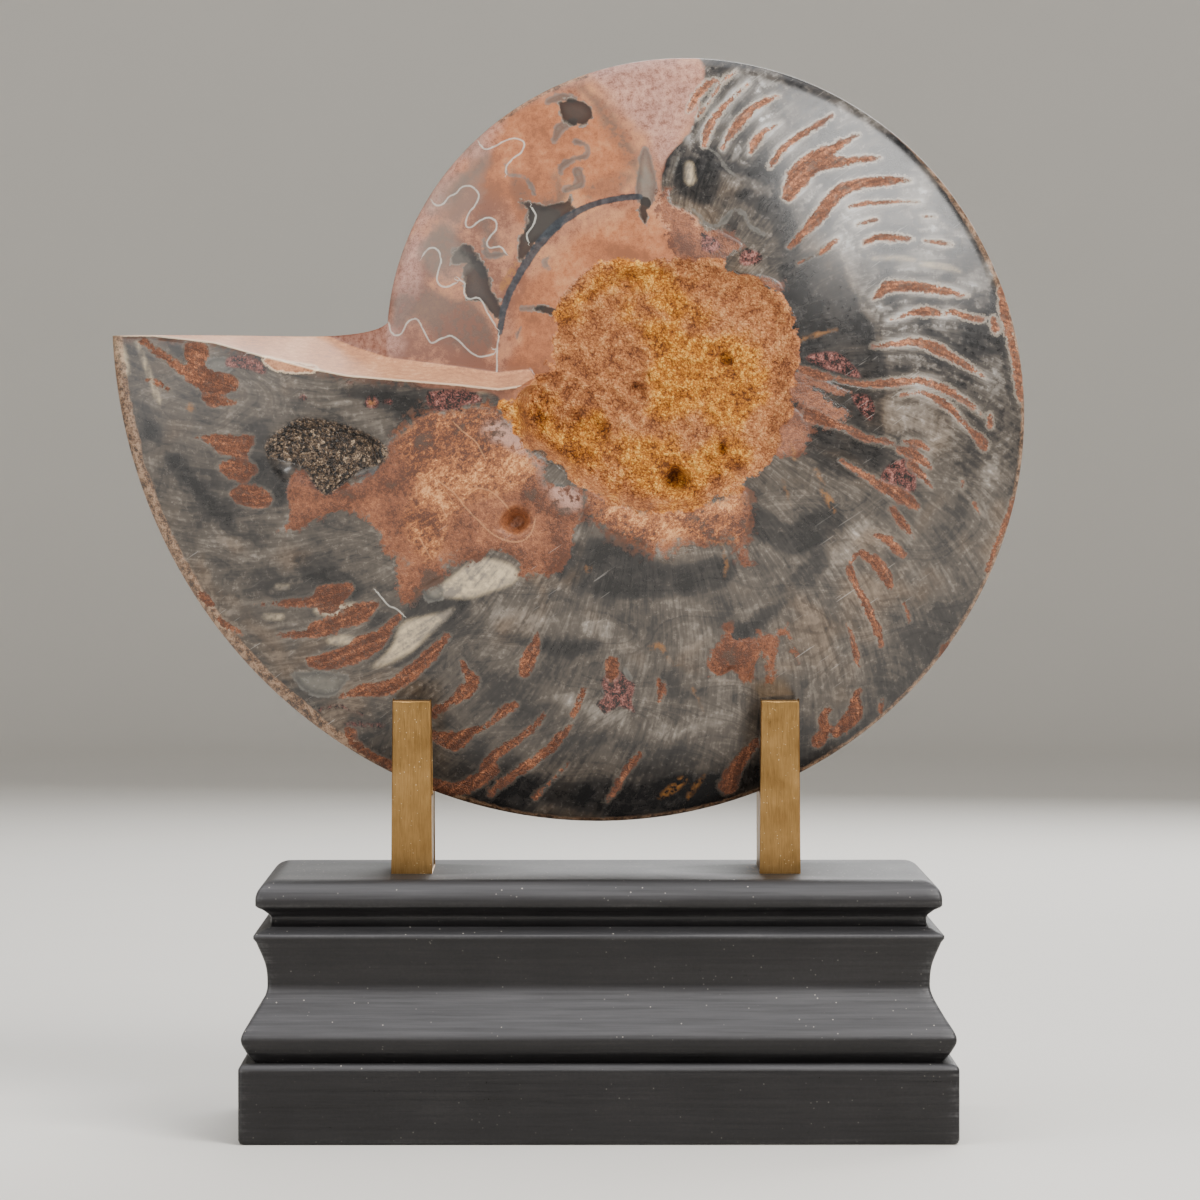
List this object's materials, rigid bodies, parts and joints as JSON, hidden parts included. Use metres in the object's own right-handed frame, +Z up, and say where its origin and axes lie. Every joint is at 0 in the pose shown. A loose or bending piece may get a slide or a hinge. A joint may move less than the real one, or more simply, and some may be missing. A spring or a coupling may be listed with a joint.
{
  "type": "cleoniceras ammonite on a stand",
  "caption": "Polished disc-shaped ammonite with a cut aperture and a rough ochre core, held on edge by brass U brackets on a dark moulded wooden plinth.",
  "frame": {"origin": "centre of the plinth's underside, on the surface that the stand rests on", "axes": "+X to the viewer's right along the plinth, +Y away from the viewer through the fossil's thickness, +Z up"},
  "size_m": [0.1938, 0.083, 0.2269],
  "materials": {
    "fossil_stone": "polished grey and slate stone with rust orange bands, tan matrix and a rough ochre core",
    "brushed_brass": "brushed brass with fine vertical scratches and small pits",
    "painted_wood": "charcoal paint over fine horizontal wood grain, satin, with pale dust"
  },
  "bodies": {
    "root": {"ammonite": "fossil_stone", "bracket_left": "brushed_brass", "bracket_right": "brushed_brass", "plinth_cap": "painted_wood", "plinth_moulding": "painted_wood", "plinth_foot": "painted_wood"}
  },
  "joints": []
}
